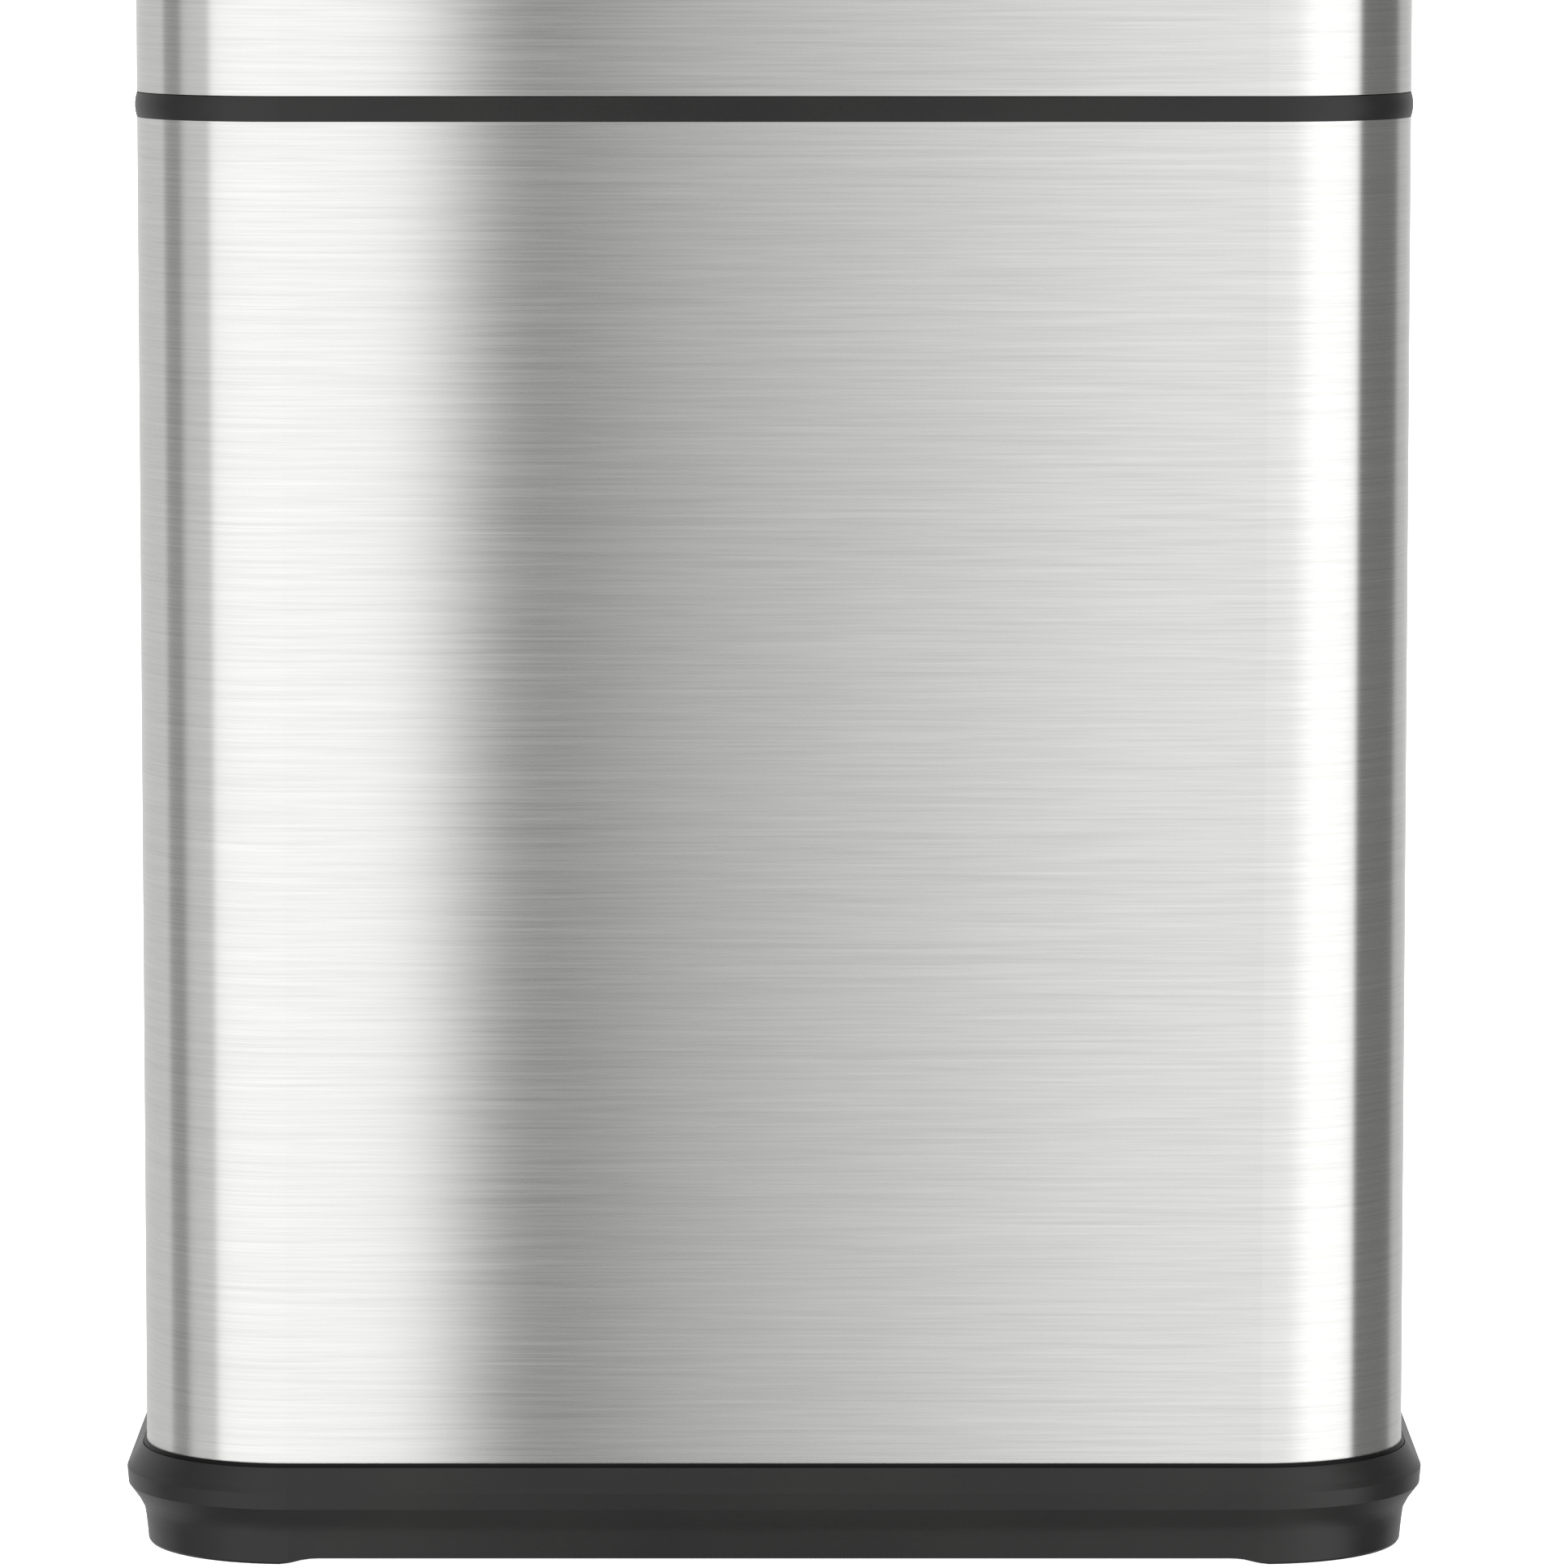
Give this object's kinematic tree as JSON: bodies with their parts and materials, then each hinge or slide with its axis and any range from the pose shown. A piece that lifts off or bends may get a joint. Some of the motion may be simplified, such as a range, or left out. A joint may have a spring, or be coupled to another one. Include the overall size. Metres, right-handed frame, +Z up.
{
  "type": "hand-cranked kitchen trash compactor",
  "caption": "Free-standing steel kitchen trash compactor: black base, lift-out bucket, and a hinged lid whose hand crank drives a telescopic screw press.",
  "frame": {"origin": "centre of the footprint, on the floor", "axes": "+Z up, +X to the right seen from the front, -Y the front"},
  "size_m": [0.4642, 0.3342, 0.6622],
  "materials": {
    "black_plastic": "satin black moulded polypropylene",
    "brushed_steel": "horizontal brushed stainless sheet",
    "plain_steel": "mill finish stainless",
    "zinc_steel": "zinc plated",
    "bucket_grey": "fine grained polypropylene",
    "rubber": "soft rubber",
    "nylon": "natural nylon",
    "bronze": "sintered bronze",
    "aluminium": "satin anodised",
    "charcoal": "charcoal fibre pad",
    "platen_paint": "grey powder coat"
  },
  "bodies": {
    "shell": {"base_tray": "black_plastic", "foot_pads": "rubber", "outer_shell": "brushed_steel", "shell_screws": "zinc_steel", "trim_band": "black_plastic", "lock_catches": "plain_steel"},
    "bucket": {"inner_bucket": "bucket_grey", "bag_ring": "plain_steel"},
    "head": {"head_skirt": "brushed_steel", "head_foot_ring": "black_plastic", "head_frame": "black_plastic", "hinge_pins": "plain_steel", "lock_keeper": "plain_steel", "keeper_screws": "zinc_steel"},
    "turn_lock_left": {"lock_lever_left": "plain_steel", "lock_grip_left": "black_plastic"},
    "turn_lock_right": {"lock_lever_right": "plain_steel", "lock_grip_right": "black_plastic"},
    "lid": {"lid_top": "black_plastic", "lid_panel": "black_plastic", "lid_seal": "rubber", "lid_screws": "zinc_steel", "filter_frame": "black_plastic", "filter_pad": "charcoal", "filter_cover": "black_plastic", "mast_outer": "plain_steel", "mast_screws": "zinc_steel", "thrust_washer": "bronze", "crank_bush": "bronze", "outer_glide": "nylon"},
    "crank": {"drive_screw": "plain_steel", "crank_arm": "aluminium", "hub_cap": "black_plastic", "crank_pin": "plain_steel"},
    "knob": {"crank_knob": "black_plastic"},
    "middle_stage": {"mast_middle": "plain_steel", "middle_nut": "bronze", "middle_glides": "nylon"},
    "inner_screw": {"hollow_screw": "plain_steel"},
    "ram": {"mast_inner": "plain_steel", "inner_nut": "bronze", "inner_glide": "nylon", "platen": "platen_paint", "platen_bolts": "zinc_steel", "platen_wiper": "rubber"},
    "slider": {"lock_slider": "black_plastic"}
  },
  "joints": [
    {"name": "bucket_lift", "type": "slide", "parent": "shell", "child": "bucket", "axis": [0, 0, 1], "range_m": [0, 0.5]},
    {"name": "head_lift", "type": "slide", "parent": "bucket", "child": "head", "axis": [0, 0, 1], "range_m": [0, 0.15]},
    {"name": "turn_lock_left", "type": "hinge", "parent": "head", "child": "turn_lock_left", "pos_m": [-0.225, 0, 0.5684], "axis": [1, 0, 0], "range_deg": [0, 90]},
    {"name": "turn_lock_right", "type": "hinge", "parent": "head", "child": "turn_lock_right", "pos_m": [0.225, 0, 0.5684], "axis": [1, 0, 0], "range_deg": [0, 90]},
    {"name": "lid_hinge", "type": "hinge", "parent": "head", "child": "lid", "pos_m": [0, 0.146, 0.622], "axis": [-1, 0, 0], "range_deg": [0, 90]},
    {"name": "lid_lock", "type": "slide", "parent": "lid", "child": "slider", "axis": [0, -1, 0], "range_m": [0, 0.013]},
    {"name": "crank_turn", "type": "hinge", "parent": "lid", "child": "crank", "pos_m": [0, 0.008, 0.63], "axis": [0, 0, 1], "range_deg": [0, 1800]},
    {"name": "knob_spin", "type": "hinge", "parent": "crank", "child": "knob", "pos_m": [0.088, 0.008, 0.645], "axis": [0, 0, 1], "continuous": true},
    {"name": "middle_slide", "type": "slide", "parent": "lid", "child": "middle_stage", "axis": [0, 0, -1], "range_m": [0, 0.0701]},
    {"name": "inner_screw_spin", "type": "hinge", "parent": "middle_stage", "child": "inner_screw", "pos_m": [0, 0.008, 0.55], "axis": [0, 0, 1], "range_deg": [0, 1801]},
    {"name": "ram_slide", "type": "slide", "parent": "middle_stage", "child": "ram", "axis": [0, 0, -1], "range_m": [0, 0.0701]}
  ],
  "couplings": [
    {"joint": "middle_slide", "follows": "crank_turn", "m_per_rad": 0.0022282},
    {"joint": "inner_screw_spin", "follows": "crank_turn", "ratio": 1},
    {"joint": "ram_slide", "follows": "crank_turn", "m_per_rad": 0.0022282}
  ]
}
